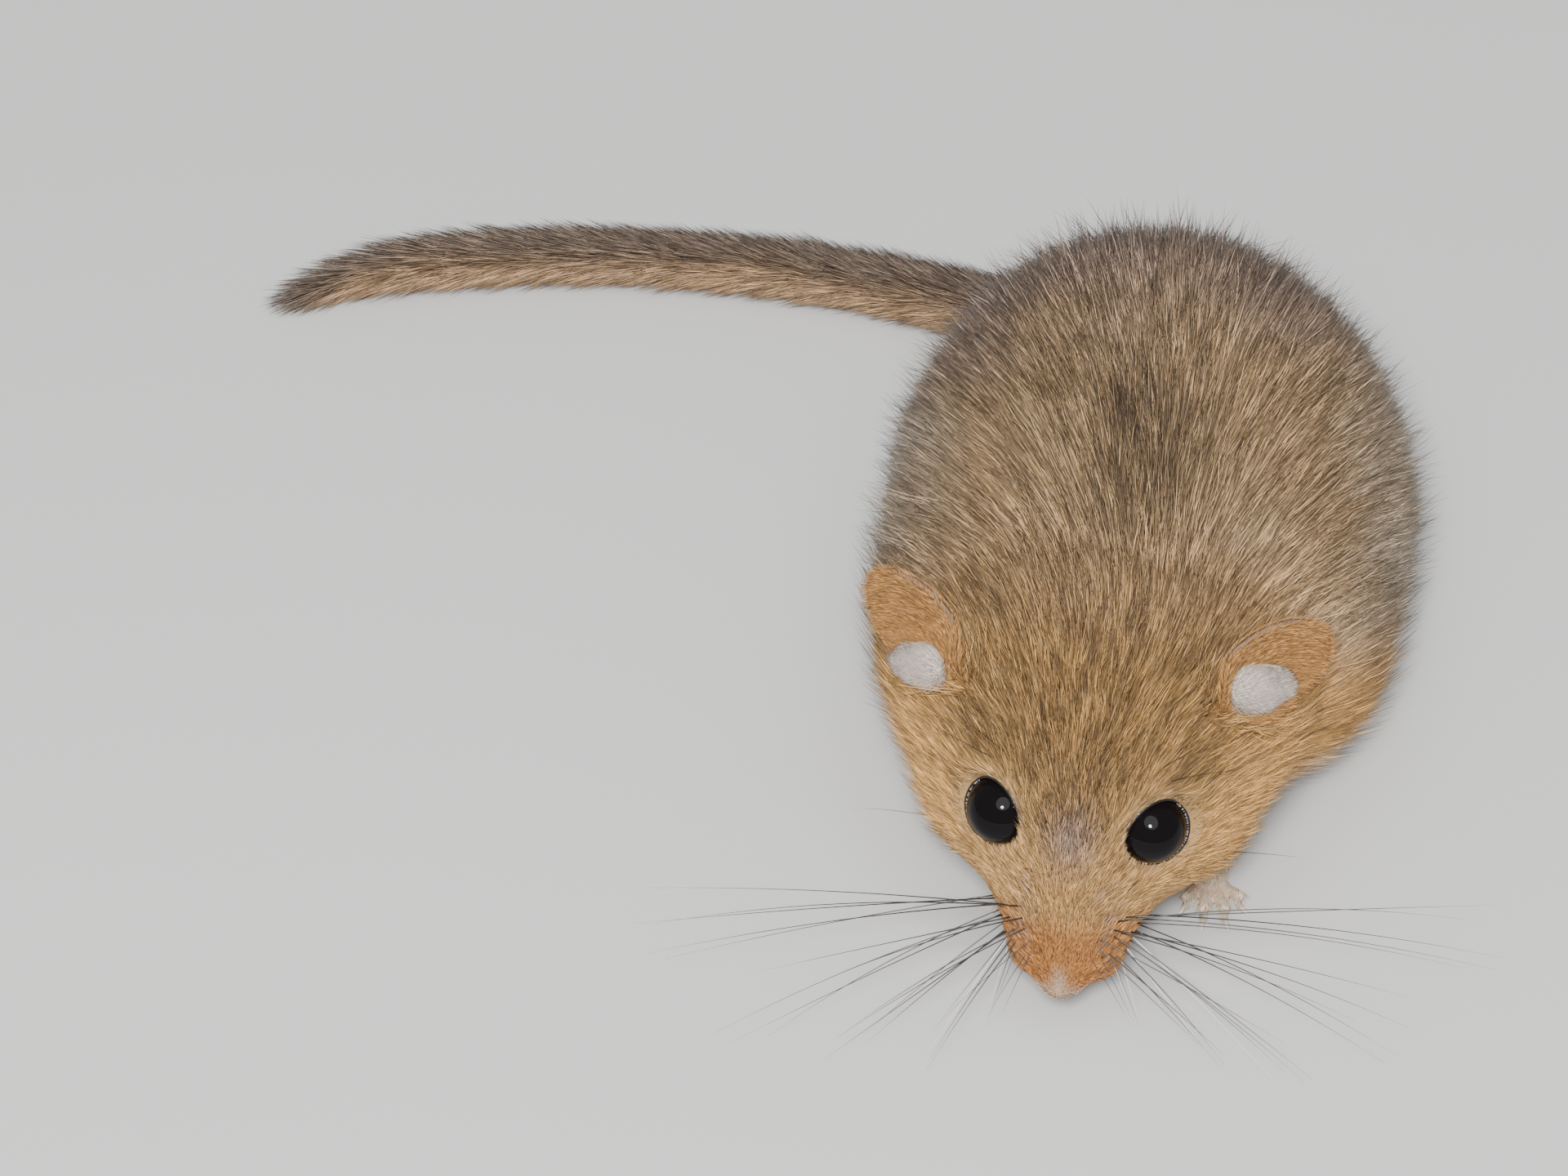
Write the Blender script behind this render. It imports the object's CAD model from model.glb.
"""Hazel dormouse, life size: its skin, coat, eyes, nose, paws, claws and whiskers.

The solid parts are loaded as a fixed frame. One skin is drawn over all of the flesh and lies inside
it by the depth of the coat. The coat is made of thin, tapered hairs rooted on that skin.
Places are worked out in millimetres, as arrays of points, and are turned into metres by MM.
The body's frame is the shared frame before the solids were moved onto its origin. The head has a
frame of its own: X to the animal's left, Y from the nose tip back, Z up through the crown.
"""

import math

import bmesh
import bpy
import numpy as np
from bpy.props import FloatProperty, FloatVectorProperty, PointerProperty
from mathutils import Matrix, Vector
from mathutils.bvhtree import BVHTree
from mathutils.kdtree import KDTree


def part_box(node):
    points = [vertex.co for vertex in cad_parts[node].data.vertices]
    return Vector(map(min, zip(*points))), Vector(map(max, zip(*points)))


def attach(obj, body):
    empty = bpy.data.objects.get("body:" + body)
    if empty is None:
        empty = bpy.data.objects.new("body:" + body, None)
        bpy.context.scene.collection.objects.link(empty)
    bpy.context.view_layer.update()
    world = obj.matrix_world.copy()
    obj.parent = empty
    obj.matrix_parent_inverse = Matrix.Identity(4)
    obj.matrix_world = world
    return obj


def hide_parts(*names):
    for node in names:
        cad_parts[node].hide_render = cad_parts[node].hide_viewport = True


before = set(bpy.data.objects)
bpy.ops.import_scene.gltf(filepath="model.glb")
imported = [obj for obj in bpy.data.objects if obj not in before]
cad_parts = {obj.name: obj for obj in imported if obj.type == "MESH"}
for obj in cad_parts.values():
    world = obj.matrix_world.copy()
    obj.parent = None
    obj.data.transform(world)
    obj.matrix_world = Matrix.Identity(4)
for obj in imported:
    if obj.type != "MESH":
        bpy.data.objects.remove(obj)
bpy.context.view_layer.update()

bl_info = {
    "name": "Hazel dormouse",
    "version": (1, 0, 0),
    "blender": (4, 5, 0),
    "location": "View3D > Sidebar > Dormouse",
    "description": "Skin, coat, eyes, nose, paws, claws and whiskers of a life-size dormouse",
    "category": "Add Mesh",
}

MM = 0.001
SEED = 23
SIDES = ((-1, "right"), (1, "left"))

# How the head is held, in degrees, and where its features lie in its own frame
HEAD_TURNS = (-9.4, 42.0, -0.5)
NOSE_TIP = (-7.3, -36.7, 6.5)
EYE_NODE = (4.45, 11.75, 3.15)
# The eyeball itself, drawn a little smaller and further out than the rough solid for it
EYE_PLACE = (4.84, 11.45, 3.31)
EYE_RADIUS = 2.38
EYE_LOOK = (0.60, -0.44, 0.67)
EYE_LONG = (0.31, 0.95, 0.0)
# Half sizes of the opening between the lids, in shares of the radius: along, outer side, inner side
EYE_OPENING = (0.98, 0.85, 0.955)
# How far past the eyeball the skin is shaped to it, and how near the lids' edge it is set onto it
SOCKET_REACH = 2.6
LID_BAND = 0.17
EAR_ROOT = (8.8, 20.2, 4.55)
EAR_AXIS = (0.545, 0.737, 0.40)
EAR_FACE = (0.42, -0.66, 0.62)
EAR_HALF_WIDTH = 3.7
EAR_MIDDLE = 3.9
EAR_HALF_LENGTH = 4.95
# The pale lobe in each ear: its place on the ear, half sizes, and how it leans. Right, then left
EAR_LOBES = {-1: ((-1.5, 1.45), (2.1, 1.55, 1.15), -16.0), 1: ((0.65, 2.3), (2.35, 1.75, 1.3), 24.0)}
# The bare pad of the nose, seen below the fur of the tip: where it is shrunk to, and how much
NOSE_PAD_PLACE = (0.0, 0.30, -1.00)
NOSE_PAD_SCALE = 0.74
MOUTH_LINE = ((0.0, 0.6, -2.8), (1.2, 1.2, -3.6), (2.3, 2.7, -4.5), (3.2, 4.6, -5.3), (3.8, 6.2, -5.8))

# In the body's frame: the tail's line, and how far the trunk's middle line lies aside, by Y
TAIL_POINTS = (
    *((2.0, 15.0, 8.4), (0.6, 20.0, 6.2), (-3.6, 25.2, 4.0), (-10.5, 29.2, 2.75), (-20.0, 32.5, 2.35)),
    *((-30.0, 34.4, 2.2), (-40.0, 35.2, 2.1), (-49.0, 34.8, 2.0), (-55.6, 33.8, 1.7), (-61.3, 32.2, 0.75)),
)
TRUNK_DRIFT = ((-22.5, -19.0, -15.0, -10.0, -5.0, 1.0, 7.0, 12.0), (-3.2, -2.4, -2.0, -1.6, -0.8, -0.2, -0.1, -0.1))

# Feet: place in the body's frame and turn, each toe's fan angle and length, the spread of the toes'
# roots, how far back each root lies, and the radius of the toe tips
FOREFOOT = ((6.1, -20.6, 1.3), 3.0)
FINGERS = ((30.0, 2.3), (9.0, 3.1), (-10.0, 3.0), (-32.0, 2.2))
HINDFOOT = ((11.3, 8.6, 1.35), -9.0)
TOES = ((28.0, 2.9), (12.0, 4.1), (0.0, 4.5), (-12.0, 4.3), (-30.0, 3.3))
FEET = (
    (FOREFOOT, FINGERS, 1.3, (-2.0, -2.0, -2.0, -2.0), 0.48),
    (HINDFOOT, TOES, 2.6, (-6.6, -8.2, -8.2, -8.2, -6.6), 0.52),
)

# Where the picture was taken from, in the body's frame, and the ways that are up in it and towards it
CAMERA_PLACE = (-25.3, -318.1, 358.3)
UPWARD = Vector((0.0, 0.743, 0.669))
TOWARDS = Vector((0.0, -0.669, 0.743))

# Whiskers, by column from the front back and by row from the top down: the root in the head's
# frame with its step per row and column, the slope in degrees and the length in shares
WHISKER_ROOT = (1.8, 2.4, 1.8)
WHISKER_ROW = (0.48, 0.0, -0.8)
WHISKER_COLUMN = (0.14, 0.8, -0.05)
WHISKER_SLOPE = (-56.0, -3.5, 15.8)
WHISKER_SHARE = (0.22, 0.20)
# The few long hairs by each eye and on each cheek: root, length and way, in the head's frame
LONE_WHISKERS = (
    ((5.6, 14.6, 5.6), 7.5, (0.8, 0.35, 0.5)),
    ((5.0, 15.2, 6.2), 6.0, (0.7, 0.55, 0.55)),
    ((8.2, 11.0, -1.0), 6.5, (0.95, 0.1, 0.1)),
)
WHISKER_STEPS = 14

FLESH = (
    *("head", "neck", "torso", "thigh_left", "thigh_right", "foreleg_left", "foreleg_right"),
    *("ear_left", "ear_right", "tail_1", "tail_2", "tail_3", "tail_4", "tail_5"),
)
HEAD, NECK, TRUNK, LEG, EAR, TAIL, PAW, LOBE = range(8)
ZONES = {"head": HEAD, "neck": NECK, "torso": TRUNK, "thigh": TRUNK, "foreleg": LEG, "ear": EAR, "tail": TAIL}
SKIN_VOXEL = 0.34
SKIN_GROWTH = 0.2
SKIN_SHADE = 0.62

# The coat's build. Curves go by the distance behind the nose tip, the share of the tail or a hair's length
TRUNK_DEPTH = 1.65
TRUNK_LENGTH = 4.3
TRUNK_DENSITY = 19.3
HEAD_DEPTH = ((0, 3, 7, 12, 17, 24), (0.12, 0.28, 0.4, 0.65, 1.0, 1.4))
HEAD_LENGTH = ((0, 2, 5, 9, 13, 18, 25), (0.45, 0.75, 1.1, 1.5, 2.0, 2.7, 3.6))
HEAD_DENSITY = ((0, 7, 13, 20, 27), (62, 46, 36, 27, 20))
TAIL_DEPTH = ((0, 0.15, 0.9, 1.0), (1.3, 1.25, 1.0, 0.3))
TAIL_LENGTH = ((0, 0.1, 0.5, 0.85, 0.95, 1.0), (3.2, 3.4, 3.6, 4.2, 3.6, 2.4))
HAIR_WIDTH = ((0.4, 1.2, 3.0, 5.0), (0.04, 0.052, 0.068, 0.085))
HAIR_RINGS = 2
HAIR_BEND = 0.45
LOCK_SPACING = 9
FLOOR_CLEAR = 0.03
# Size of each hair's patch on the map that the coat's tones are baked to
PATCH = 0.003

# Pieces of the coat, with the way that each is unwrapped and its slot
COAT_PIECES = (
    ("coat_muzzle", "head", "crown"),
    ("coat_brow", "head", "crown"),
    ("coat_crown", "head", "crown"),
    ("coat_cheeks", "head", "crown"),
    ("coat_nape", "trunk", "crown"),
    ("coat_back_left", "trunk", "back"),
    ("coat_back_right", "trunk", "back"),
    ("coat_flank_left", "trunk", "flank"),
    ("coat_flank_right", "trunk", "flank"),
    ("coat_legs", "legs", "flank"),
    ("coat_tail", "tail", "tail_coat"),
    ("coat_ears", "ears", "ear_skin"),
    ("coat_lobes", "ears", "ear_skin"),
    ("coat_paws", "paws", "bare_skin"),
)


def node_middle(name):
    low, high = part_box(name)
    return (low + high) / 2 / MM


def head_matrix():
    """From the head's frame to the shared one, in millimetres, found from where the eyes are."""
    turn, pitch, roll = (math.radians(angle) for angle in HEAD_TURNS)
    held = Matrix.Rotation(turn, 4, "Z") @ Matrix.Rotation(pitch, 4, "X") @ Matrix.Rotation(roll, 4, "Y")
    between = (node_middle("eye_left") + node_middle("eye_right")) / 2
    tip = between - held @ Vector((0, EYE_NODE[1], EYE_NODE[2]))
    return Matrix.Translation(tip) @ held


HEAD_MATRIX = head_matrix()
BODY_SHIFT = np.array(HEAD_MATRIX.translation - Vector(NOSE_TIP))


def on_side(values, side):
    """A place or way given for the left side, or its mirror image."""
    return Vector((values[0] * side, values[1], values[2]))


def eye_matrix(side):
    """The frame of one eye: Z the way it looks, X along its longer width, Y towards the crown."""
    z = on_side(EYE_LOOK, side).normalized()
    x = on_side([value * side for value in EYE_LONG], side)
    x = (x - z * x.dot(z)).normalized()
    turn = Matrix((x, z.cross(x), z)).transposed().to_4x4()
    return HEAD_MATRIX @ Matrix.Translation(on_side(EYE_PLACE, side)) @ turn


def ear_matrix(side):
    """The frame of one ear: Y up the ear, Z the way its cup faces."""
    up = on_side(EAR_AXIS, side).normalized()
    face = on_side(EAR_FACE, side)
    face = (face - up * face.dot(up)).normalized()
    turn = Matrix((up.cross(face), up, face)).transposed().to_4x4()
    return HEAD_MATRIX @ Matrix.Translation(on_side(EAR_ROOT, side)) @ turn


def into(matrix, points):
    """Points of the shared frame, seen in the frame of the matrix."""
    turn = np.array(matrix.to_3x3())
    return (points - np.array(matrix.translation)) @ turn


def turned(matrix, directions):
    """Directions of the matrix's frame, seen in the shared one."""
    return directions @ np.array(matrix.to_3x3()).T


def out_of(matrix, points):
    """Points of the matrix's frame, seen in the shared one."""
    return turned(matrix, points) + np.array(matrix.translation)


def step(values, start, end):
    """A soft step from 0 at start to 1 at end."""
    share = np.clip((values - start) / (end - start), 0, 1)
    return share * share * (3 - 2 * share)


def spot(*reaches):
    """1 in one place, falling off round it. Each reach is a measure, its middle and its half width."""
    return np.exp(-sum(((at - middle) / half) ** 2 for at, middle, half in reaches))


def unit(vectors):
    return vectors / np.maximum(np.linalg.norm(vectors, axis=-1, keepdims=True), 1e-9)


def mixed(first, second, share):
    """A blend of two tones, or of two rows of tones, by one share or by one for each row."""
    return first + (second - first) * np.reshape(share, (-1, 1))


def painted(tones, first, layers):
    """The first tone with others laid over it in turn, each by its share at every point."""
    made = np.tile(tones[first], (len(layers[0][1]), 1))
    for name, share in layers:
        made = mixed(made, tones[name], share)
    return made


def patchy(points, size, seed):
    """A smooth, wandering value from about -1 to 1, with features of about that size."""
    draw = np.random.default_rng(seed)
    total = np.zeros(len(points))
    for _ in range(7):
        wave = unit(draw.normal(size=3)) * draw.uniform(0.6, 1.5) * 2 * math.pi / size
        total += np.sin(points @ wave + draw.uniform(0, 2 * math.pi))
    return total / 3.2


def smooth_curve(points, count):
    """Points at even steps along a smooth curve through the given ones."""
    given = np.array(points, float)
    given = np.vstack([2 * given[0] - given[1], given, 2 * given[-1] - given[-2]])
    found = []
    for place in np.linspace(0, len(points) - 1, count):
        k = min(int(place), len(points) - 2)
        t = place - k
        a, b, c, d = given[k : k + 4]
        bends = (2 * a - 5 * b + 4 * c - d) * t**2 + (3 * b - a - 3 * c + d) * t**3
        found.append(0.5 * (2 * b + (c - a) * t + bends))
    return np.array(found)


TAIL_LINE = smooth_curve(TAIL_POINTS, 160) + BODY_SHIFT
TAIL_COURSE = unit(np.gradient(TAIL_LINE, axis=0))


def along_tail(points):
    """For each point the index of the nearest place on the tail's line."""
    found = np.zeros(len(points), int)
    for start in range(0, len(points), 4000):
        block = points[start : start + 4000]
        gaps = ((block[:, None, :] - TAIL_LINE[None]) ** 2).sum(-1)
        found[start : start + 4000] = gaps.argmin(1)
    return found


class Places:
    """Where a set of skin points lies on the animal, in each frame that the coat needs."""

    def __init__(self, points, normals, zone):
        self.shared, self.normal, self.zone = points, normals, zone
        self.body = points - BODY_SHIFT
        self.head = into(HEAD_MATRIX, points)
        self.head_normal = normals @ np.array(HEAD_MATRIX.to_3x3())
        # The share of the tail that lies before each point, and the place on its line
        self.tail = along_tail(points) / (len(TAIL_LINE) - 1)
        self.tail_at = (self.tail * (len(TAIL_LINE) - 1)).astype(int)
        self.side = np.where(self.head[:, 0] >= 0, 1, -1)
        self.eye, self.ear, cup = (np.zeros_like(points) for _ in range(3))
        for side in (-1, 1):
            here = self.side == side
            self.eye[here] = into(eye_matrix(side), points[here])
            self.ear[here] = into(ear_matrix(side), points[here])
            cup[here] = np.array(ear_matrix(side).to_3x3().col[2])
        # 1 on the head, falling to 0 along the nape
        self.on_head = 1 - step(self.head[:, 1], 19, 29)
        # Distance from the edge of the eye's opening, less than nothing inside it
        self.from_eye = past_lids(self.eye)
        # How squarely the surface faces the way that its ear's cup does
        self.ear_front = (normals * cup).sum(1)
        # 1 at the ear's edge and 0 at its middle
        self.ear_edge = np.hypot(self.ear[:, 0] / EAR_HALF_WIDTH, (self.ear[:, 1] - EAR_MIDDLE) / EAR_HALF_LENGTH)
        # 1 on the dark patch of the back, and 0 away from it
        x, y, z = self.body.T
        self.saddle = spot((x, -1.7, 5.5), (y, -10.5, 6.5)) * step(z, 20, 27)

    def by_zone(self, rest, known):
        """The values that are known for whole zones, and the rest elsewhere."""
        for zone, value in known.items():
            here = self.zone == zone
            rest = np.where(here[:, None] if rest.ndim > 1 else here, value, rest)
        return rest


def opening_share(seen):
    """How far out points in an eye's frame lie between its axis and the edge of its lids, which is 1."""
    half = np.where(seen[:, 1] > 0, EYE_OPENING[2], EYE_OPENING[1])
    return np.hypot(seen[:, 0] / EYE_OPENING[0], seen[:, 1] / half) / EYE_RADIUS


def past_lids(seen):
    """How far points in an eye's frame lie past the edge of its lids, less than nothing between them."""
    gap = (opening_share(seen) - 1) * EYE_RADIUS
    return np.where(seen[:, 2] > 0, gap, np.hypot(gap.clip(0), seen[:, 2]))


def coat_depth(place):
    """How deep the skin lies under the tips of the coat."""
    head = np.interp(place.head[:, 1], *HEAD_DEPTH)
    head = np.minimum(head, 0.12 + 0.25 * np.maximum(place.from_eye, 0))
    depth = TRUNK_DEPTH + (head - TRUNK_DEPTH) * place.on_head
    trunk = depth * (0.45 + 0.55 * step(place.body[:, 2], 1.0, 7.0))
    tail = np.interp(place.tail, *TAIL_DEPTH)
    return place.by_zone(depth, {TRUNK: trunk, LEG: 0.45, EAR: 0.1, PAW: 0.08, LOBE: 0.08, TAIL: tail})


def fur_length(place):
    y = place.head[:, 1]
    head = np.interp(y, *HEAD_LENGTH) * (1 + 0.25 * step(-place.head[:, 2], 2, 6) * step(y, 7, 13))
    head = np.minimum(head, 0.6 + 1.0 * np.maximum(place.from_eye, 0))
    trunk = TRUNK_LENGTH + 0.9 * step(place.body[:, 1], 4, 14)
    length = trunk + (head - trunk) * place.on_head
    length = length * (1 - 0.35 * step(-place.normal[:, 2], 0.3, 0.9))
    ear = 0.8 + (1 - step(place.ear[:, 1], 0.5, 4.0)) * (place.ear_front < 0.3)
    paw = 0.85 + 0.6 * step(place.body[:, 2], 0.8, 2.2)
    tail = np.interp(place.tail, *TAIL_LENGTH)
    return place.by_zone(length, {LEG: 2.8, EAR: ear, PAW: paw, LOBE: 0.8, TAIL: tail})


def fur_lie(place):
    """The way that the hair points, before it lifts off the skin."""
    across = np.clip((place.body[:, 0] + 0.5) / 17, -1.3, 1.3)
    behind = step(place.body[:, 1], 6, 19)
    trunk = np.stack([0.75 * across, 1.0 - 0.75 * behind, -0.55 * np.abs(across) - 1.1 * behind], 1)
    hx = place.head[:, 0] / 10
    head = turned(HEAD_MATRIX, np.stack([0.85 * hx, np.ones(len(hx)), 0.16 - 0.3 * np.abs(hx)], 1))
    lie = mixed(trunk, head, place.on_head)
    # Hairs lean away from the lids, and fan out over the ears
    off_lids = place.eye * np.array([1.0, 1.0, 0.0])
    near_eye = 1 - step(place.from_eye, 0.05, 0.9)
    ears = lie.copy()
    for side in (-1, 1):
        here = place.side == side
        outward = turned(eye_matrix(side), unit(off_lids[here]))
        lie[here] = lie[here] + outward * (0.7 * near_eye[here] * place.on_head[here])[:, None]
        fan = place.ear[here][:, 0] * 0.28 + 0.45 * side
        ears[here] = turned(ear_matrix(side), np.stack([fan, np.ones(len(fan)), np.zeros(len(fan))], 1))
    fixed = {LEG: (0.0, -0.25, -1.0), PAW: (0.0, -1.0, -0.15), TAIL: TAIL_COURSE[place.tail_at]}
    lie = place.by_zone(lie, {EAR: ears, LOBE: ears, **fixed})
    return unit(lie - place.normal * (lie * place.normal).sum(1, keepdims=True))


def markings(place, tones):
    """The colour of the coat at each point, before hairs differ from each other."""
    y, z = place.body[:, 1:].T
    hx, hy, hz = place.head.T
    wide = np.abs(hx)
    up = place.normal[:, 2]
    wander = patchy(place.body, 9.0, 5)
    trunk = (
        ("back", step(up + 0.12 * wander, 0.15, 0.85)),
        ("saddle", np.clip(place.saddle * (0.75 + 0.25 * wander), 0, 1)),
        ("rump", step(y + 2.5 * wander, -7.0, 9.0) * step(z + 1.5 * wander, 4, 18)),
        ("cream", step(-up + 0.1 * wander, 0.25, 0.75) * step(-z, -9, -4)),
    )
    throat = step(-hz, 1.0, 6.5) * step(hy, 7, 12) * step(-z, -11.5, -7.0)
    whisker_rows = spot((wide, 2.5, 0.6)) * step(hy, 1.8, 3.2) * (1 - step(hy, 6.0, 8.0))
    brow = spot((hx, 0, 1.7), (hy, 9.7, 1.9)) * step(hz, 1.0, 3.0)
    forehead = spot((hx, 0, 5.0), (hy, 13.5, 3.5)) * step(hz, 1.0, 3.0)
    behind_eye = spot((wide, 6.4, 1.1), (hy, 15.3, 1.3), (hz, 4.8, 1.4))
    before_eye = spot((wide, 3.0, 0.9), (hy, 8.0, 1.3), (hz, 2.6, 1.2))
    chin = step(-place.head_normal[:, 2], 0.35, 0.8) * step(-hz, 1.5, 4.0)
    nose_streak = (1 - step(hy, 0.4, 1.9)) * spot((hx, 0, 0.42))
    nose_rim = 1 - step(hy, -0.1, 0.6)
    head = (
        ("cheek", step(wide - 0.35 * hz, 5.5, 9.5)),
        ("flank", 0.7 * throat),
        ("bridge", 1 - step(hy, 6.5, 10.5)),
        ("muzzle", 1 - step(hy + 0.35 * np.maximum(hz, 0), 3.6, 6.6)),
        ("violet", 0.5 * whisker_rows * step(patchy(place.shared, 1.1, 9), -0.1, 0.8)),
        ("violet", 0.6 * brow),
        ("guard", 0.2 * forehead),
        ("guard", 1 - step(place.from_eye, 0.04, 0.16)),
        ("eye_ring", 0.45 * spot((place.from_eye, 0.45, 0.32))),
        ("smudge", np.clip(0.5 * (behind_eye + before_eye), 0, 1)),
        ("cream", chin),
        ("nose_streak", np.maximum(0.8 * nose_streak, 0.6 * nose_rim)),
    )
    inner_edge = step(place.ear_edge, 0.92, 0.99) * step(-place.ear[:, 0] * place.side, 0.3, 1.5)
    ear = (("ear_rim", 0.9 * inner_edge * step(place.ear[:, 1], 2.0, 3.5)),)
    tail = (
        ("tail_dark", step(up + 0.75 * place.normal[:, 1] + 0.3 * wander, -0.9, 1.0)),
        ("tail_dark", step(place.tail, 0.86, 0.97)),
    )
    coat = mixed(painted(tones, "flank", trunk), painted(tones, "crown", head), place.on_head)
    zones = {
        LEG: mixed(coat, tones["cream"], 0.6),
        EAR: painted(tones, "ear", ear),
        LOBE: tones["ear_lobe"],
        PAW: tones["cream"],
        TAIL: painted(tones, "tail_buff", tail),
    }
    return place.by_zone(coat, zones)


def darkness(place):
    """The share of hairs with dark tips at each point."""
    hx, hy, hz = place.head.T
    forehead = 0.05 + (0.36 + 0.24 * spot((hx, 0, 3.8))) * step(hy, 7, 12) * step(hz, 1.5, 5.0)
    trunk = 0.14 + 0.22 * step(place.normal[:, 2], 0.0, 0.8) + 0.3 * place.saddle
    dark = trunk + (forehead - trunk) * place.on_head
    dark = place.by_zone(dark, {TAIL: 0.22, EAR: 0.05, LEG: 0.0, PAW: 0.0, LOBE: 0.0})
    return dark + 0.15 * (place.zone == HEAD) * (1 - step(hy, 5, 8)) * step(hz, -3, 0)


def hair_density(place):
    """Hairs to the square millimetre."""
    head = np.interp(place.head[:, 1], *HEAD_DENSITY)
    dense = TRUNK_DENSITY + (head - TRUNK_DENSITY) * place.on_head
    trunk = dense * (1 - 0.5 * step(-place.normal[:, 2], 0.4, 0.9))
    return place.by_zone(dense, {TRUNK: trunk, LEG: 24, EAR: 46, PAW: 34, LOBE: 60, TAIL: 34})


def regions(place):
    """For each piece of the coat, which points of the skin it grows on."""
    head, neck, trunk, leg, ear, tail, paw, lobe = (place.zone == zone for zone in range(8))
    y, z = place.head[:, 1:].T
    face = head & (place.from_eye > 0.12) & ((z > -0.5) | (y > 0.7))
    left = place.body[:, 0] > -0.5
    upper = place.normal[:, 2] > 0.35
    inner_edge = (place.ear_edge > 0.95) & (place.ear[:, 0] * place.side < -0.6) & (place.ear[:, 1] > 3.0)
    return {
        "coat_muzzle": face & (y < 7),
        "coat_brow": face & (y >= 7) & (y < 13),
        "coat_crown": face & (y >= 13) & (z > 0),
        "coat_cheeks": face & (y >= 13) & (z <= 0),
        "coat_nape": neck,
        "coat_back_left": trunk & upper & left,
        "coat_back_right": trunk & upper & ~left,
        "coat_flank_left": trunk & ~upper & left,
        "coat_flank_right": trunk & ~upper & ~left,
        "coat_legs": leg,
        "coat_tail": tail,
        "coat_ears": ear & ~inner_edge,
        "coat_lobes": lobe & (place.ear_front > -0.1),
        "coat_paws": paw & (place.normal[:, 2] > 0.1) & (place.body[:, 2] > 0.5),
    }


def material(name, base, roughness, specular, coat=0.0, subsurface=0.0, tinted=False, grain=None):
    """A Principled material. A tinted one takes the piece's own colours. The grain is a fine bump,
    given by its size in millimetres and its strength."""
    made = bpy.data.materials.new(name)
    made.use_nodes = True
    nodes, links = made.node_tree.nodes, made.node_tree.links
    shader = nodes["Principled BSDF"]
    shader.inputs["Base Color"].default_value = (*base, 1)
    shader.inputs["Roughness"].default_value = roughness
    shader.inputs["Specular IOR Level"].default_value = specular
    shader.inputs["Coat Weight"].default_value = coat
    shader.inputs["Coat Roughness"].default_value = 0.03
    shader.inputs["Subsurface Weight"].default_value = subsurface
    shader.inputs["Subsurface Scale"].default_value = 0.0006
    if tinted:
        reader = nodes.new("ShaderNodeAttribute")
        reader.attribute_name = "coat_colour"
        links.new(reader.outputs["Color"], shader.inputs["Base Color"])
    if grain:
        size, strength = grain
        place = nodes.new("ShaderNodeTexCoord")
        noise = nodes.new("ShaderNodeTexNoise")
        noise.inputs["Scale"].default_value = 1 / (size * MM)
        noise.inputs["Detail"].default_value = 4.0
        bump = nodes.new("ShaderNodeBump")
        bump.inputs["Strength"].default_value = strength
        bump.inputs["Distance"].default_value = size * MM * 0.5
        links.new(place.outputs["Object"], noise.inputs["Vector"])
        links.new(noise.outputs["Fac"], bump.inputs["Height"])
        links.new(bump.outputs["Normal"], shader.inputs["Normal"])
    return made


def as_mesh(bm, name):
    """A mesh made from a bmesh, which is freed."""
    mesh = bpy.data.meshes.new(name)
    bm.to_mesh(mesh)
    bm.free()
    return mesh


def finished(mesh, name, made, slot, *nodes):
    """Links a finished, smooth piece, rides it on the body and lets it stand for its nodes."""
    mesh.shade_smooth()
    piece = bpy.data.objects.new(name, mesh)
    bpy.context.scene.collection.objects.link(piece)
    mesh.materials.clear()
    mesh.materials.append(made)
    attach(piece, "root")
    if nodes:
        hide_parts(*nodes)
    return piece


def skin_growth(points, on_head):
    """How far out the solids' surfaces are moved before they are fused: not at all on the face."""
    return SKIN_GROWTH * np.where(on_head, step(into(HEAD_MATRIX, points)[:, 1], 14.5, 18), 1.0)


def merged_copy(name, grown=False):
    """A copy of one solid with its points merged, and its surface moved out where it is to be grown."""
    bm = bmesh.new()
    bm.from_mesh(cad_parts[name].data)
    bmesh.ops.remove_doubles(bm, verts=bm.verts, dist=1e-6)
    if grown:
        bm.normal_update()
        points = np.array([v.co for v in bm.verts]) / MM
        for vert, amount in zip(bm.verts, skin_growth(points, name == "head")):
            vert.co += vert.normal * float(amount) * MM
    return bm


def fused(name, parts, voxel):
    """Closed meshes blended into one skin of even, small faces."""
    whole = bmesh.new()
    for bm in parts:
        held = as_mesh(bm, "part")
        whole.from_mesh(held)
        bpy.data.meshes.remove(held)
    mesh = as_mesh(whole, name)
    holder = bpy.data.objects.new(name, mesh)
    bpy.context.scene.collection.objects.link(holder)
    remesh = holder.modifiers.new("Fuse", "REMESH")
    remesh.mode = "VOXEL"
    remesh.voxel_size = voxel * MM
    soften = holder.modifiers.new("Soften", "SMOOTH")
    soften.factor = 0.5
    soften.iterations = 3
    graph = bpy.context.evaluated_depsgraph_get()
    made = bpy.data.meshes.new_from_object(holder.evaluated_get(graph))
    bpy.data.objects.remove(holder)
    bpy.data.meshes.remove(mesh)
    made.name = name
    return made


def values_of(items, key, kind, width):
    """One row of values for each item of a mesh."""
    values = np.empty(len(items) * width, kind)
    items.foreach_get(key, values)
    return values.reshape(-1, width)


def points_of(mesh):
    return values_of(mesh.vertices, "co", float, 3) / MM


def normals_of(mesh):
    return values_of(mesh.vertex_normals, "vector", np.float32, 3).astype(float)


def put_points(mesh, points):
    mesh.vertices.foreach_set("co", (points * MM).astype(np.float32).ravel())
    mesh.update()


def put_colours(mesh, colours):
    attribute = mesh.color_attributes.new("coat_colour", "FLOAT_COLOR", "POINT")
    rows = np.ones((len(colours), 4), np.float32)
    rows[:, :3] = np.clip(colours, 0, 1)
    attribute.data.foreach_set("color", rows.ravel())


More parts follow.
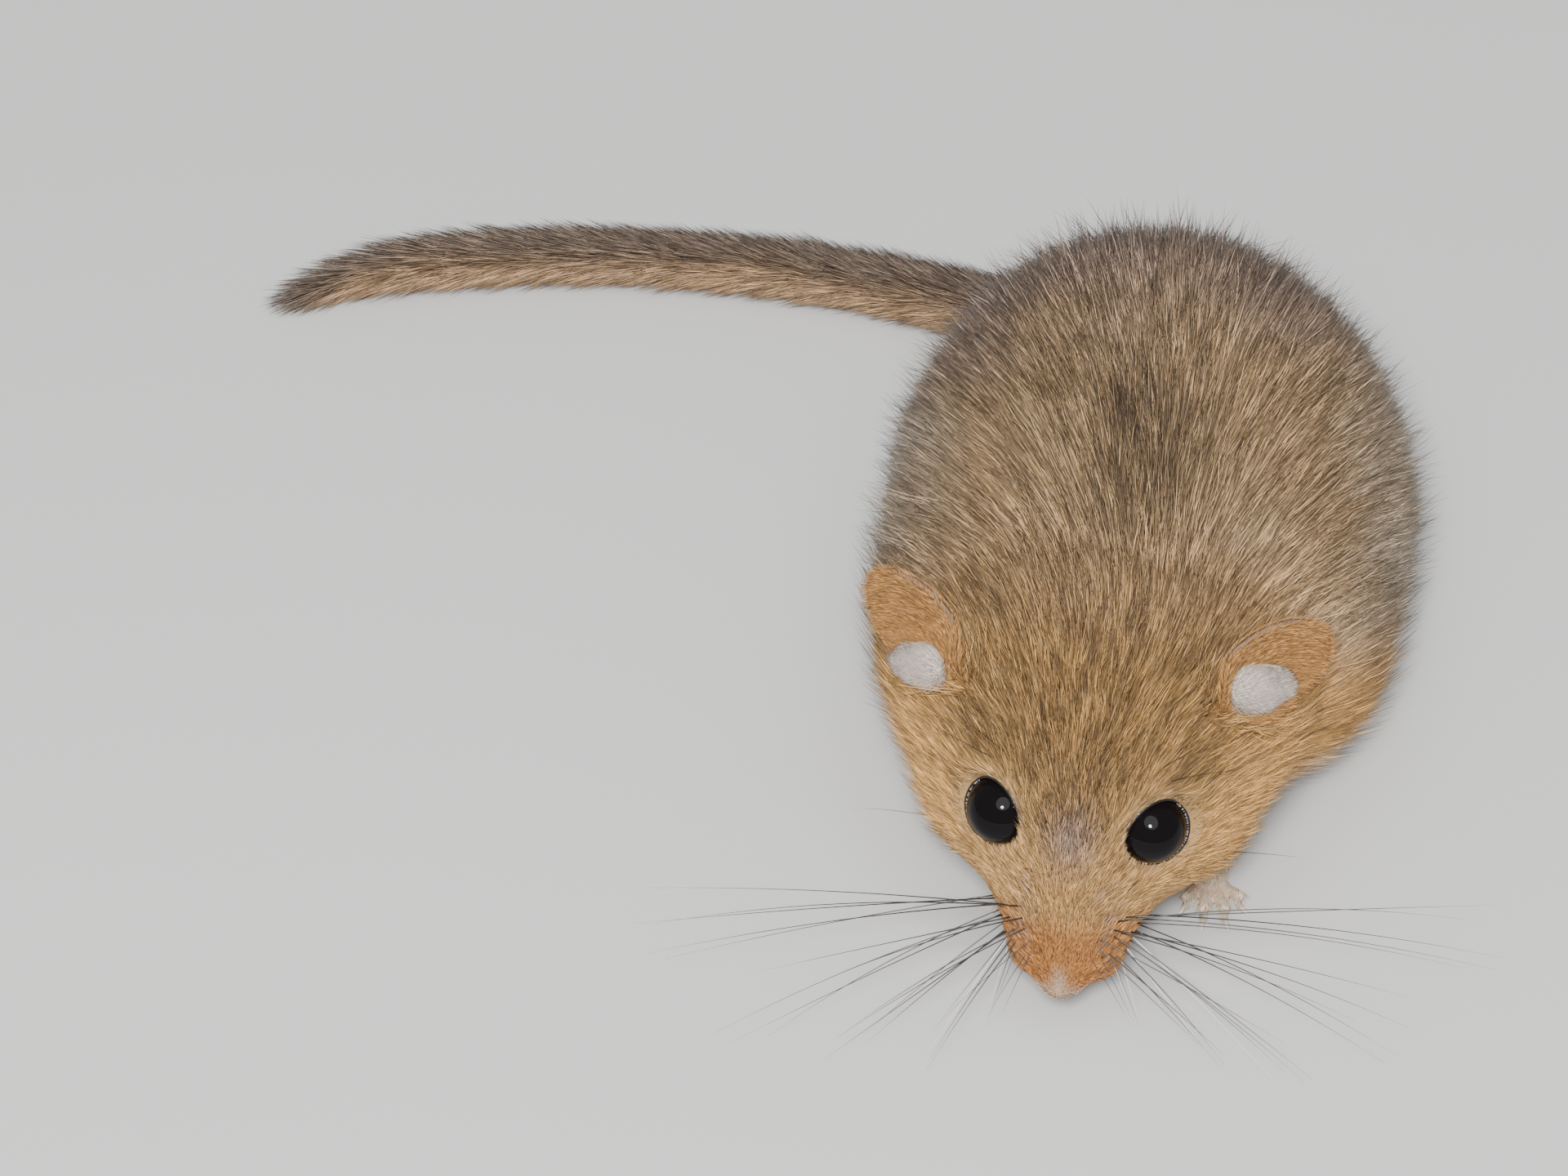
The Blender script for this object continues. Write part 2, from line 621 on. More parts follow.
def put_zone(mesh, zone):
    """Marks every point of a skin with its zone, or with one zone for all."""
    rows = np.full(len(mesh.vertices), zone, np.int32)
    mesh.attributes.new("zone", "INT", "POINT").data.foreach_set("value", rows)


def face_tree(names):
    """A search tree of the faces of some solids, in millimetres, with the name behind each face."""
    corners, faces, owners = [], [], []
    for name in names:
        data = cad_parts[name].data
        data.calc_loop_triangles()
        start = len(corners)
        corners.extend(v.co / MM for v in data.vertices)
        faces.extend([start + k for k in t.vertices] for t in data.loop_triangles)
        owners.extend([name] * len(data.loop_triangles))
    return BVHTree.FromPolygons(corners, faces), owners


def point_tree(points):
    tree = KDTree(len(points))
    for k, point in enumerate(points):
        tree.insert(point, k)
    tree.balance()
    return tree


def relaxed(points, mesh, share, rounds):
    """Points pulled towards the middle of their neighbours; share says how much, per point."""
    first, second = values_of(mesh.edges, "vertices", int, 2).T
    for _ in range(rounds):
        total = np.zeros_like(points)
        count = np.zeros(len(points))
        np.add.at(total, first, points[second])
        np.add.at(total, second, points[first])
        np.add.at(count, first, 1)
        np.add.at(count, second, 1)
        points = points + (total / count[:, None] - points) * share[:, None]
    return points


def clear_of_eyes(points, mesh):
    """Skin tucked behind the eyeballs between the lids, set on the lids' edge, and smooth beyond it."""
    share = np.zeros(len(points))
    for side in (-1, 1):
        matrix = eye_matrix(side)
        seen = into(matrix, points)
        away = np.linalg.norm(seen, axis=1)
        near = away < EYE_RADIUS + SOCKET_REACH
        beyond = past_lids(seen)
        edge = seen[:, :2] / opening_share(seen)[:, None].clip(0.3)
        edge_height = np.sqrt((EYE_RADIUS**2 - (edge**2).sum(1)).clip(0))
        outside = near & (beyond >= 0)
        on_edge = near & (np.abs(beyond) < LID_BAND) & (seen[:, 2] > 0)
        tucked = unit(seen) * np.minimum(away, EYE_RADIUS - 0.4)[:, None]
        lowered = seen.copy()
        lowered[:, 2] = np.minimum(seen[:, 2], edge_height + 0.05 + 0.9 * beyond + 0.6 * beyond**2)
        snapped = unit(np.column_stack([edge, edge_height])) * (EYE_RADIUS + 0.05)
        for here, put in ((near & (beyond < 0), tucked), (outside, lowered), (on_edge, snapped)):
            seen = np.where(here[:, None], put, seen)
        points = np.where(near[:, None], out_of(matrix, seen), points)
        share = np.where(outside & ~on_edge, 0.5 * (1 - step(beyond, 1.6, SOCKET_REACH)), share)
    points = relaxed(points, mesh, share, 36)
    for side in (-1, 1):
        seen = into(eye_matrix(side), points)
        sunk = (share > 0) & (np.linalg.norm(seen, axis=1) < EYE_RADIUS + 0.07)
        points = np.where(sunk[:, None], out_of(eye_matrix(side), unit(seen) * (EYE_RADIUS + 0.07)), points)
    return points


def scatter(skins, piece, draw):
    """Roots spread over the skins, where one piece of the coat grows."""
    points, normals, zones, corners = [], [], [], []
    known = 0
    for mesh in skins:
        mesh.calc_loop_triangles()
        points.append(points_of(mesh))
        normals.append(normals_of(mesh))
        zones.append(values_of(mesh.attributes["zone"].data, "value", int, 1)[:, 0])
        corners.append(values_of(mesh.loop_triangles, "vertices", int, 3) + known)
        known += len(mesh.vertices)
    points, normals, zones, corners = (np.concatenate(rows) for rows in (points, normals, zones, corners))
    middle = Places(points[corners].mean(1), unit(normals[corners].sum(1)), zones[corners[:, 0]])
    first, second, third = points[corners].swapaxes(0, 1)
    area = np.linalg.norm(np.cross(second - first, third - first), axis=1) / 2
    reached = np.cumsum(area * hair_density(middle) * regions(middle)[piece])
    count = int(reached[-1])
    picks = np.searchsorted(reached, (np.arange(count) + draw.random(count)) * reached[-1] / count)
    chosen = corners[np.clip(picks, 0, len(area) - 1)]
    a, b = draw.random(count), draw.random(count)
    over = a + b > 1
    a[over], b[over] = 1 - a[over], 1 - b[over]
    shares = np.stack([1 - a - b, a, b], 1)[..., None]
    return Places((points[chosen] * shares).sum(1), unit((normals[chosen] * shares).sum(1)), zones[chosen[:, 0]])


def unwrapped(place, kind):
    """Where each root lies on an unwrap of the skin, stretched to fill the square. Ears and paws lie in
    four columns. The rest is unrolled round the head, the tail, the legs or the trunk."""
    x, y, z = place.body.T
    if kind == "ears":
        column = 0.5 * (place.side > 0) + 0.25 * (place.ear_front > 0)
        flat = column + 0.021 * place.ear[:, 0], place.ear[:, 1]
    elif kind == "paws":
        column = 0.5 * (x > -1.5) + 0.25 * (y > -13)
        spread = np.clip(np.where(x > -1.5, x, -x - 4) / 18, 0, 1)
        flat = column + 0.21 * spread, np.where(y > -13, y + 12, y + 30)
    elif kind == "tail":
        off = place.shared - TAIL_LINE[place.tail_at]
        level = unit(np.cross(TAIL_COURSE[place.tail_at], np.array([0.0, 0.0, 1.0])))
        upward = np.cross(level, TAIL_COURSE[place.tail_at])
        flat = np.arctan2((off * level).sum(1), (off * upward).sum(1)), place.tail
    elif kind == "head":
        flat = np.arctan2(place.head[:, 0], place.head[:, 2] + 1.0), np.clip(place.head[:, 1], 0, 30)
    elif kind == "legs":
        turn = np.arctan2(place.head[:, 0] - 7 * place.side, y + 18) / 2 + place.side * math.pi / 2
        flat = turn, np.clip(z, 0, 12)
    else:
        flat = np.arctan2(x + 1.0, z - 13.0), np.clip(y, -26, 22)
    flat = np.stack(flat, 1)
    low, high = flat.min(0), flat.max(0)
    return 0.01 + 0.98 * (flat - low) / (high - low)


def hairs(name, place, along, length, width, lift, tints, patches, lock):
    """Thin, closed, tapered hairs with three sides, rooted just under the skin. The lift is in
    radians. The tints are one colour per ring and one for the tip."""
    side = unit(np.cross(place.normal, along))
    line = [place.shared - place.normal * np.clip(0.06 * length, 0.03, 0.12)[:, None]]
    ways = []
    for k in range(HAIR_RINGS):
        angle = (lift - lift * HAIR_BEND * (k + 0.5) / HAIR_RINGS)[:, None]
        ways.append(unit(np.cos(angle) * along + np.sin(angle) * place.normal))
        line.append(line[-1] + ways[-1] * (length / HAIR_RINGS)[:, None])
    # The tips gather a little towards the hair that leads their lock
    tree = point_tree(place.shared[::LOCK_SPACING])
    leader = np.array([tree.find(root)[1] for root in place.shared]) * LOCK_SPACING
    pull = (line[-1][leader] - line[-1]) * lock
    for k in range(1, HAIR_RINGS + 1):
        line[k] = line[k] + pull * (k / HAIR_RINGS) ** 1.6
    verts = []
    for k, way in enumerate(ways):
        taper = (1.0 - 0.75 * (k / HAIR_RINGS) ** 1.4) * width[:, None] / 2
        up = unit(np.cross(way, side))
        for turn in (math.pi / 2, math.pi * 7 / 6, math.pi * 11 / 6):
            verts.append(line[k] + (side * math.cos(turn) + up * math.sin(turn)) * taper)
    verts = np.stack([*verts, line[-1]], 1)
    verts[..., 2] = FLOOR_CLEAR + np.logaddexp(0, (verts[..., 2] - FLOOR_CLEAR) * 6) / 6

    count, tip = len(verts), 3 * HAIR_RINGS
    faces = [(0, 2, 1)]
    for k in range(0, tip - 3, 3):
        faces += [(k + i, k + (i + 1) % 3, k + 3 + (i + 1) % 3, k + 3 + i) for i in range(3)]
    faces += [(tip - 3 + i, tip - 3 + (i + 1) % 3, tip) for i in range(3)]
    corners = np.array([v for face in faces for v in face])
    loops = (corners[None] + np.arange(count)[:, None] * (tip + 1)).ravel()
    ends = np.cumsum(np.tile([len(face) for face in faces], count))

    mesh = bpy.data.meshes.new(name)
    mesh.vertices.add(count * (tip + 1))
    mesh.vertices.foreach_set("co", (verts * MM).astype(np.float32).ravel())
    mesh.loops.add(len(loops))
    mesh.loops.foreach_set("vertex_index", loops.astype(np.int32))
    mesh.polygons.add(len(ends))
    mesh.polygons.foreach_set("loop_start", np.concatenate([[0], ends[:-1]]).astype(np.int32))
    mesh.update(calc_edges=True)
    put_colours(mesh, np.repeat(np.stack(tints, 1), [3] * HAIR_RINGS + [1], axis=1).reshape(-1, 3))

    within = np.array([((k % 3) / 3 - 0.33, k // 3 / HAIR_RINGS - 0.5) for k in range(tip + 1)])
    spots = (patches[:, None] + PATCH * within).astype(np.float32)
    layer = mesh.uv_layers.new(name="OFBake")
    layer.data.foreach_set("uv", spots.reshape(-1, 2)[loops].ravel())
    return mesh


def grow_coat(name, kind, skins, tones, settings, seed):
    """One piece of the coat: hairs on its part of the skins, coloured as the skin is."""
    draw = np.random.default_rng(seed)
    place = scatter(skins, name, draw)
    count = len(place.shared)
    on_head = place.zone == HEAD
    length = fur_length(place) * settings.length * draw.uniform(0.72, 1.18, count)
    long_coated = np.isin(place.zone, (TRUNK, NECK)) | (on_head & (place.head[:, 1] > 8))
    cheek = on_head * step(np.abs(place.head[:, 0]) - 0.5 * place.head[:, 2], 5.5, 9.0)
    guard = (draw.random(count) < settings.guard_share * (1 + cheek)) & long_coated & (place.from_eye > 1.5)
    length = np.where(guard, length * draw.uniform(1.25, 1.6, count), length)
    width = np.interp(length, *HAIR_WIDTH) * draw.uniform(0.8, 1.2, count) * settings.thickness
    width = np.where(guard, width * 0.8, width)
    lift = np.arcsin(np.clip(coat_depth(place) * 1.12 / length, 0.1, 0.75)) + 0.10
    lift = lift * draw.uniform(0.7, 1.35, count)
    lift = np.where(guard, lift * 1.35 + 0.12 + 0.2 * on_head, lift)
    brush = lift * (1.15 + 0.7 * step(place.tail, 0.85, 1.0))
    lift = place.by_zone(lift, {TAIL: brush, LOBE: 0.55, EAR: lift + 0.12})
    along = fur_lie(place)
    sway = 0.16 * patchy(place.shared, 2.6, seed + 1) + 0.10 * patchy(place.shared, 0.9, seed + 2)
    sway = sway + draw.normal(0, 0.12, count)
    along = unit(along + np.cross(place.normal, along) * sway[:, None])

    calm = np.isin(place.zone, (LOBE, PAW))
    spread = np.where(calm, 0.08, settings.variation)
    shade = np.exp(spread * (0.35 * patchy(place.shared, 1.3, seed + 3) + draw.normal(0, 1, count)))
    base = markings(place, tones) * np.clip(shade, 0.3, 2.2)[:, None]
    base = base / np.maximum(1, base.max(1, keepdims=True) * 1.15)
    dark = draw.random(count) < darkness(place) * (1 + 0.6 * patchy(place.shared, 1.8, seed + 4))
    dark |= guard & (draw.random(count) < 0.5 - 0.35 * cheek)
    pale = (draw.random(count) < 0.25) & ~dark & ~calm
    tip = np.where(pale[:, None], mixed(base, tones["cream"], 0.4), base * 1.1)
    tip = np.where(dark[:, None], mixed(base, tones["guard"], 0.9), tip)
    middle = np.where(dark[:, None], mixed(base, tones["guard"], 0.6), base)
    tints = (base * np.where(calm, 0.9, 0.5)[:, None], middle, tip)
    return hairs(name, place, along, length, width, lift, tints, unwrapped(place, kind), settings.lock)


def colour(name, default, description):
    return FloatVectorProperty(
        name=name, description=description, default=default, size=3, min=0, max=1, subtype="COLOR"
    )


class DormouseCoat(bpy.types.PropertyGroup):
    """Colours of the coat and the build of its hairs."""

    crown: colour("Crown", (0.48, 0.275, 0.095), "Top of the head")
    cheek: colour("Cheeks", (0.7, 0.39, 0.135), "Cheeks and round the ears")
    bridge: colour("Bridge", (0.5, 0.29, 0.11), "Bridge of the muzzle")
    muzzle: colour("Muzzle", (0.43, 0.185, 0.055), "Muzzle")
    violet: colour("Between the eyes", (0.24, 0.2, 0.22), "Greyer patch between the eyes")
    eye_ring: colour("Eye ring", (0.48, 0.33, 0.19), "Pale ring round the eyes")
    smudge: colour("Smudge", (0.12, 0.07, 0.04), "Smudges before and behind the eyes")
    nose_streak: colour("Nose streak", (0.62, 0.48, 0.36), "Pale streak on the nose")
    back: colour("Back", (0.63, 0.415, 0.21), "Back")
    saddle: colour("Saddle", (0.21, 0.135, 0.07), "Darker patch on the middle of the back")
    rump: colour("Rump", (0.44, 0.315, 0.24), "Rim of the rump")
    flank: colour("Flanks", (0.88, 0.73, 0.56), "Flanks")
    cream: colour("Underside", (0.62, 0.53, 0.39), "Chin, chest and belly")
    guard: colour("Guard hairs", (0.026, 0.022, 0.024), "Dark tips and guard hairs")
    tail_dark: colour("Tail, above", (0.15, 0.108, 0.08), "Upper side and brush of the tail")
    tail_buff: colour("Tail, below", (0.46, 0.29, 0.16), "Lower side of the tail")
    ear: colour("Ears", (0.37, 0.185, 0.06), "Ears")
    ear_rim: colour("Ear edges", (0.2, 0.18, 0.17), "Grey inner edge of each ear")
    ear_lobe: colour("Ear lobes", (0.5, 0.43, 0.38), "Pale lobe in each ear")
    length: FloatProperty(name="Length", description="Hair length, in shares", default=1.0, min=0.5, max=1.5)
    thickness: FloatProperty(name="Thickness", description="Hair width, in shares", default=1.0, min=0.5, max=2)
    lock: FloatProperty(name="Locks", description="How far hair tips gather into locks", default=0.12, min=0, max=1)
    variation: FloatProperty(name="Variation", description="How far hairs differ in tone", default=0.5, min=0, max=1)
    guard_share: FloatProperty(name="Guard share", description="Share of long hairs", default=0.09, min=0, max=0.5)


class DormouseFeatures(bpy.types.PropertyGroup):
    """Eyes, bare skin, claws and whiskers."""

    eye: colour("Eye", (0.004, 0.003, 0.0035), "Eyeball")
    lid: colour("Lid rims", (0.012, 0.008, 0.007), "Wet rims of the lids")
    pink: colour("Bare skin", (0.5, 0.27, 0.21), "Nose and soles")
    claw: colour("Claws", (0.62, 0.52, 0.42), "Claws")
    whisker: colour("Whiskers", (0.012, 0.010, 0.009), "Whiskers")
    whisker_length: FloatProperty(
        name="Whiskers", description="Longest whisker", default=0.024, min=0.005, max=0.04, unit="LENGTH"
    )
    pale_whisker: colour("Pale whiskers", (0.75, 0.72, 0.68), "The whitish whiskers among the lower ones")


class DormouseStage(bpy.types.PropertyGroup):
    """Floor, lights and camera."""

    floor: colour("Floor", (0.5, 0.495, 0.485), "Floor")
    key: FloatProperty(name="Soft light", description="Power of the large light", default=3.3, min=0, unit="POWER")
    flash: FloatProperty(name="Front light", description="Power of the small light", default=3.8, min=0, unit="POWER")
    sky: FloatProperty(name="Sky", description="Brightness of the surroundings", default=0.5, min=0)
    lens: FloatProperty(name="Lens", description="Focal length in millimetres", default=157.8, min=20, max=300)
    tilt: FloatProperty(
        name="Tilt", description="Angle that the camera looks down", default=math.radians(48.0), subtype="ANGLE"
    )


def tones_of(coat):
    """The colours among a group's settings, by name."""
    known = coat.bl_rna.properties
    return {name: np.array(getattr(coat, name)) for name in coat.__annotations__ if known[name].subtype == "COLOR"}


class DORMOUSE_OT_skin(bpy.types.Operator):
    """Draws one skin over the solids of flesh, inside them by the coat's depth"""

    bl_idname = "dormouse.skin"
    bl_label = "Skin"

    def execute(self, context):
        parts = [merged_copy(name, grown=True) for name in ("nose", "eye_left", "eye_right", *FLESH)]
        mesh = fused("skin", parts, SKIN_VOXEL)
        points = points_of(mesh)
        tree, owners = face_tree(FLESH)
        nearest = [owners[tree.find_nearest(Vector(point))[2]] for point in points]
        zone = np.array([ZONES[name.split("_")[0]] for name in nearest])
        place = Places(points, normals_of(mesh), zone)
        points = points - place.normal * (coat_depth(place) + skin_growth(points, zone == HEAD))[:, None]
        y = place.head[:, 1]
        calm = np.where(zone == EAR, 0.15, 0.5) * step(place.from_eye, -0.2, 1.2) * (0.35 + 0.65 * step(y, 5, 12))
        points = relaxed(points, mesh, calm, 6)
        nape = step(y, 18, 21) * np.isin(zone, (HEAD, NECK, TRUNK)) * step(place.body[:, 2], 8, 14)
        points = relaxed(points, mesh, 0.5 * nape * (1 - step(y, 32, 36)), 30)
        put_points(mesh, clear_of_eyes(points, mesh))
        put_zone(mesh, zone)

        place = Places(points_of(mesh), normals_of(mesh), zone)
        tones = tones_of(context.scene.dormouse_coat)
        line = np.vstack([smooth_curve([on_side(p, s) for p in MOUTH_LINE], 60) for s in (-1, 1)])
        from_mouth = np.linalg.norm(place.head[:, None, :] - line[None], axis=-1).min(1)
        lips = 0.8 * (1 - step(from_mouth, 0.25, 0.6))
        put_colours(mesh, mixed(markings(place, tones) * SKIN_SHADE, tones["guard"], lips))
        made = material("short_coat", (0.4, 0.25, 0.12), 0.7, 0.2, tinted=True, grain=(0.25, 0.6))
        finished(mesh, "skin", made, "back", *FLESH)
        return {"FINISHED"}


class DORMOUSE_OT_lobes(bpy.types.Operator):
    """Makes the smooth, pale lobe that fills the lower part of each ear's cup"""

    bl_idname = "dormouse.lobes"
    bl_label = "Ear lobes"

    def execute(self, context):
        tone = tuple(context.scene.dormouse_coat.ear_lobe)
        made = material("lobe_skin", tone, 0.6, 0.3, subsurface=0.3, grain=(0.3, 0.9))
        for side, word in SIDES:
            (across, up), sizes, lean = EAR_LOBES[side]
            matrix = ear_matrix(side)
            bm = bmesh.new()
            bmesh.ops.create_uvsphere(bm, u_segments=40, v_segments=28, radius=1)
            bmesh.ops.scale(bm, vec=sizes, verts=bm.verts)
            lumps = patchy(np.array([vert.co for vert in bm.verts]), 1.7, SEED + side) * 0.07
            for vert, lump in zip(bm.verts, lumps):
                thin = vert.co.x * side / sizes[0]
                vert.co.y *= 1 - 0.24 * thin
                vert.co.z *= 1 - 0.2 * thin
                vert.co *= 1 + lump
            seat = Vector((across, up, self.cup_height(word, matrix, across, up)))
            place = matrix @ Matrix.Translation(seat) @ Matrix.Rotation(math.radians(lean), 4, "Z")
            bmesh.ops.transform(bm, matrix=Matrix.Scale(MM, 4) @ place, verts=bm.verts)
            # A sphere's faces come in another order in each run, and hairs are to be spread over them,
            # so they are put in one order
            bm.verts.index_update()
            rings = sorted(([vert.index for vert in face.verts] for face in bm.faces), key=sorted)
            mesh = bpy.data.meshes.new("ear_lobe_" + word)
            mesh.from_pydata([vert.co for vert in bm.verts], [], rings)
            bm.free()
            put_zone(mesh, LOBE)
            finished(mesh, "ear_lobe_" + word, made, "ear_skin")
        return {"FINISHED"}

    def cup_height(self, word, matrix, across, up):
        """How high the ear's cup stands in the ear's frame, under one point of the lobe."""
        tree, _ = face_tree(["ear_" + word])
        start = matrix @ Vector((across, up, 12))
        hit = tree.ray_cast(start, -matrix.to_3x3().col[2])[0]
        if hit is None:
            raise RuntimeError(f"no ear under the {word} lobe")
        return (matrix.inverted() @ hit).z


class DORMOUSE_OT_coat(bpy.types.Operator):
    """Grows the coat on the skin, piece by piece, with the skin's own markings"""

    bl_idname = "dormouse.coat"
    bl_label = "Coat"

    def execute(self, context):
        settings = context.scene.dormouse_coat
        tones = tones_of(settings)
        skins = [piece.data for piece in bpy.data.objects if piece.type == "MESH" and "zone" in piece.data.attributes]
        made = material("coat_hair", (0.4, 0.25, 0.12), 0.55, 0.3, tinted=True)
        for k, (name, kind, slot) in enumerate(COAT_PIECES):
            finished(grow_coat(name, kind, skins, tones, settings, SEED + 17 * k), name, made, slot)
        return {"FINISHED"}


class DORMOUSE_OT_eyes(bpy.types.Operator):
    """Makes the eyeballs, the wet rims of the lids and the drops along them"""

    bl_idname = "dormouse.eyes"
    bl_label = "Eyes"

    def execute(self, context):
        settings = context.scene.dormouse_features
        ball = material("eye_black", tuple(settings.eye), 0.03, 0.10)
        rim = material("lid_rim", tuple(settings.lid), 0.4, 0.3, coat=0.2, grain=(0.16, 0.5))
        wet = material("tear_water", (0.42, 0.42, 0.44), 0.08, 0.8, coat=1.0)
        for side, word in SIDES:
            matrix = Matrix.Scale(MM, 4) @ eye_matrix(side)
            bm = bmesh.new()
            bmesh.ops.create_uvsphere(bm, u_segments=64, v_segments=40, radius=EYE_RADIUS)
            for vert in bm.verts:
                bulge = max(0.0, vert.co.z / EYE_RADIUS - 0.6)
                vert.co.z += 0.35 * bulge * bulge
            bmesh.ops.transform(bm, matrix=matrix, verts=bm.verts)
            finished(as_mesh(bm, "eyeball_" + word), "eyeball_" + word, ball, "eye_black", "eye_" + word)
            self.make_rim(word, matrix, rim)
            self.make_tears(word, side, matrix, wet)
        return {"FINISHED"}

    def make_rim(self, word, matrix, rim):
        """An oval bead that lies on the eyeball all round its opening."""
        bm = bmesh.new()
        ring = 10
        bmesh.ops.create_circle(bm, segments=10, radius=1)
        bmesh.ops.rotate(bm, cent=(0, 0, 0), matrix=Matrix.Rotation(math.pi / 2, 3, "X"), verts=bm.verts)
        bmesh.ops.translate(bm, vec=(ring, 0, 0), verts=bm.verts)
        around = {"cent": (0, 0, 0), "axis": (0, 0, 1), "angle": 2 * math.pi, "steps": 96, "use_merge": True}
        bmesh.ops.spin(bm, geom=bm.verts[:] + bm.edges[:], **around)
        for vert in bm.verts:
            aside, rise = math.hypot(vert.co.x, vert.co.y) - ring, vert.co.z
            out, across = rim_frame(math.atan2(vert.co.y, vert.co.x))
            vert.co = out * (EYE_RADIUS + 0.09 + 0.14 * rise) + across * 0.16 * aside
        bmesh.ops.transform(bm, matrix=matrix, verts=bm.verts)
        bmesh.ops.recalc_face_normals(bm, faces=bm.faces)
        finished(as_mesh(bm, "lid_rim_" + word), "lid_rim_" + word, rim, "eye_black")

    def make_tears(self, word, side, matrix, wet):
        """Tiny drops of moisture in a row along the lower lid."""
        draw = np.random.default_rng(SEED + side)
        bm = bmesh.new()
        for share in np.linspace(0.04, 0.96, 46):
            out, across = rim_frame(-math.pi * share + draw.normal(0, 0.03))
            drop = bmesh.ops.create_icosphere(bm, subdivisions=1, radius=draw.uniform(0.025, 0.06))
            place = out * (EYE_RADIUS + 0.04) + across * draw.uniform(-0.24, -0.15)
            bmesh.ops.translate(bm, vec=place, verts=drop["verts"])
        bmesh.ops.transform(bm, matrix=matrix, verts=bm.verts)
        finished(as_mesh(bm, "tear_drops_" + word), "tear_drops_" + word, wet, "eye_black")


def rim_frame(angle):
    """The way out from the eyeball's middle, and the way across the rim, at an angle round the lids."""
    x, y = EYE_OPENING[0] * math.cos(angle), EYE_OPENING[2 if angle > 0 else 1] * math.sin(angle)
    out = Vector((x, y, math.sqrt(max(0.0, 1 - x * x - y * y)))).normalized()
    across = out.cross(Vector((-math.sin(angle), math.cos(angle), 0))).normalized()
    return out, -across


class DORMOUSE_OT_nose(bpy.types.Operator):
    """Makes the bare nose pad with its nostrils"""

    bl_idname = "dormouse.nose"
    bl_label = "Nose"

    def execute(self, context):
        settings = context.scene.dormouse_features
        mesh = fused("nose_pad", [merged_copy("nose")], 0.07)
        place = into(HEAD_MATRIX, points_of(mesh))
        pale = np.array(context.scene.dormouse_coat.nose_streak)
        streak = 0.8 * spot((place[:, 0], 0, 0.35)) * step(place[:, 2], -0.4, 0.5)
        nostrils = [np.exp(-(((place - (0.75 * s, -0.45, -0.25)) / 0.32) ** 2).sum(1)) for s in (-1, 1)]
        colours = mixed(np.tile(np.array(settings.pink), (len(place), 1)), pale, streak)
        put_colours(mesh, mixed(colours, np.array(settings.lid), np.clip(1.3 * np.max(nostrils, axis=0), 0, 0.9)))
        shrunk = (place - place.mean(0)) * NOSE_PAD_SCALE + np.array(NOSE_PAD_PLACE)
        put_points(mesh, out_of(HEAD_MATRIX, shrunk))
        made = material("nose_skin", tuple(settings.pink), 0.38, 0.5, 0.15, 0.3, tinted=True, grain=(0.12, 0.5))
        finished(mesh, "nose_pad", made, "bare_skin", "nose")
        return {"FINISHED"}


def foot_matrix(place, turn, side):
    """From a foot's frame, its toes towards -Y, to the shared one."""
    middle = np.array(place) * (side, 1, 1) + BODY_SHIFT
    middle[0] += float(np.interp(place[1], *TRUNK_DRIFT))
    matrix = Matrix.Translation(Vector(middle))
    if side < 0:
        matrix = matrix @ Matrix.Scale(-1, 4, Vector((1, 0, 0)))
    return matrix @ Matrix.Rotation(math.radians(turn), 4, "Z")


class DORMOUSE_OT_paws(bpy.types.Operator):
    """Makes the four paws of bare skin, with fine fur on their backs, and the claws"""

    bl_idname = "dormouse.paws"
    bl_label = "Paws and claws"

    def execute(self, context):
        settings = context.scene.dormouse_features
        made = material("paw_skin", tuple(settings.pink), 0.5, 0.4, 0.0, 0.3, tinted=True, grain=(0.2, 0.5))
        horn = material("claw_horn", tuple(settings.claw), 0.35, 0.5, 0.2)
        pink, cream = np.array(settings.pink), np.array(context.scene.dormouse_coat.cream)
        for side, word in reversed(SIDES):
            for node in ("forefoot_" + word, "hind_foot_" + word):
                mesh = fused(node + "_skin", [merged_copy(node)], 0.13)
                points = points_of(mesh)
                top = 0.8 * step(normals_of(mesh)[:, 2], -0.1, 0.6) * step(points[:, 2], 0.3, 1.4)
                put_colours(mesh, mixed(np.tile(pink, (len(points), 1)), cream, top))
                put_zone(mesh, PAW)
                finished(mesh, node + "_skin", made, "bare_skin", node)
            self.make_claws(word, side, horn)
        return {"FINISHED"}

    def make_claws(self, word, side, horn):
        """A small cone for a claw at each toe tip of one side's two feet."""
        bm = bmesh.new()
        for (place, turn), digits, spread, backs, radius in FEET:
            matrix = foot_matrix(place, turn, side)
            for (fan, length), back in zip(digits, backs):
                angle = math.radians(fan)
                ahead = Vector((math.sin(angle), -math.cos(angle), 0))
                tip = Vector((math.sin(angle) * spread, back, 0)) + ahead * length
                tip.z = radius - place[2]
                sizes = {"segments": 8, "radius1": 0.26, "radius2": 0.03, "depth": 1.35}
                cone = bmesh.ops.create_cone(bm, cap_ends=True, cap_tris=True, **sizes)
                lean = ahead.to_track_quat("Z", "Y").to_matrix().to_4x4()
                move = matrix @ Matrix.Translation(tip + ahead * 0.55 + Vector((0, 0, -0.14)))
                bmesh.ops.transform(bm, matrix=Matrix.Scale(MM, 4) @ move @ lean, verts=cone["verts"])
        bmesh.ops.recalc_face_normals(bm, faces=bm.faces)
        mesh = as_mesh(bm, "claws_" + word)
        points = points_of(mesh)
        points[:, 2] = np.maximum(points[:, 2], 0.02)
        put_points(mesh, points)
        finished(mesh, "claws_" + word, horn, "bare_skin")


